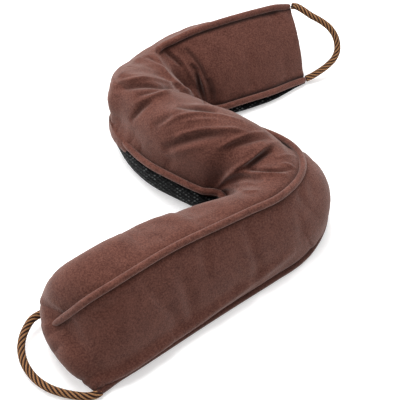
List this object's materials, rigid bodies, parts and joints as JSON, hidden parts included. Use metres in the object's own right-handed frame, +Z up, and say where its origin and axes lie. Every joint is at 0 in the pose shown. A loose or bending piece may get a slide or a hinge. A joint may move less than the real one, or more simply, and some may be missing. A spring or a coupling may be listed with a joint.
{
  "type": "draught excluder",
  "caption": "Stuffed three-sided plush tube with piped seams, a non-slip underside and a twisted rope loop at each end, lying bent in a Z on a floor.",
  "frame": {"origin": "middle of the bounding box in plan, on the floor", "axes": "+Z is up from the floor, +X is to the viewer's right, +Y is away from the viewer"},
  "size_m": [0.437, 0.6454, 0.1252],
  "materials": {
    "plush": "short pile plush",
    "piping": "plush covered cord",
    "non_slip_mesh": "open mesh with a slight sheen",
    "rope": "twisted cord in two colours"
  },
  "bodies": {
    "root": {"filled_body": "plush", "mesh_underside": "non_slip_mesh", "piping_top": "piping", "piping_front": "piping", "piping_back": "piping", "end_panel_near": "plush", "end_panel_far": "plush", "handle_near": "rope", "handle_far": "rope"}
  },
  "joints": []
}
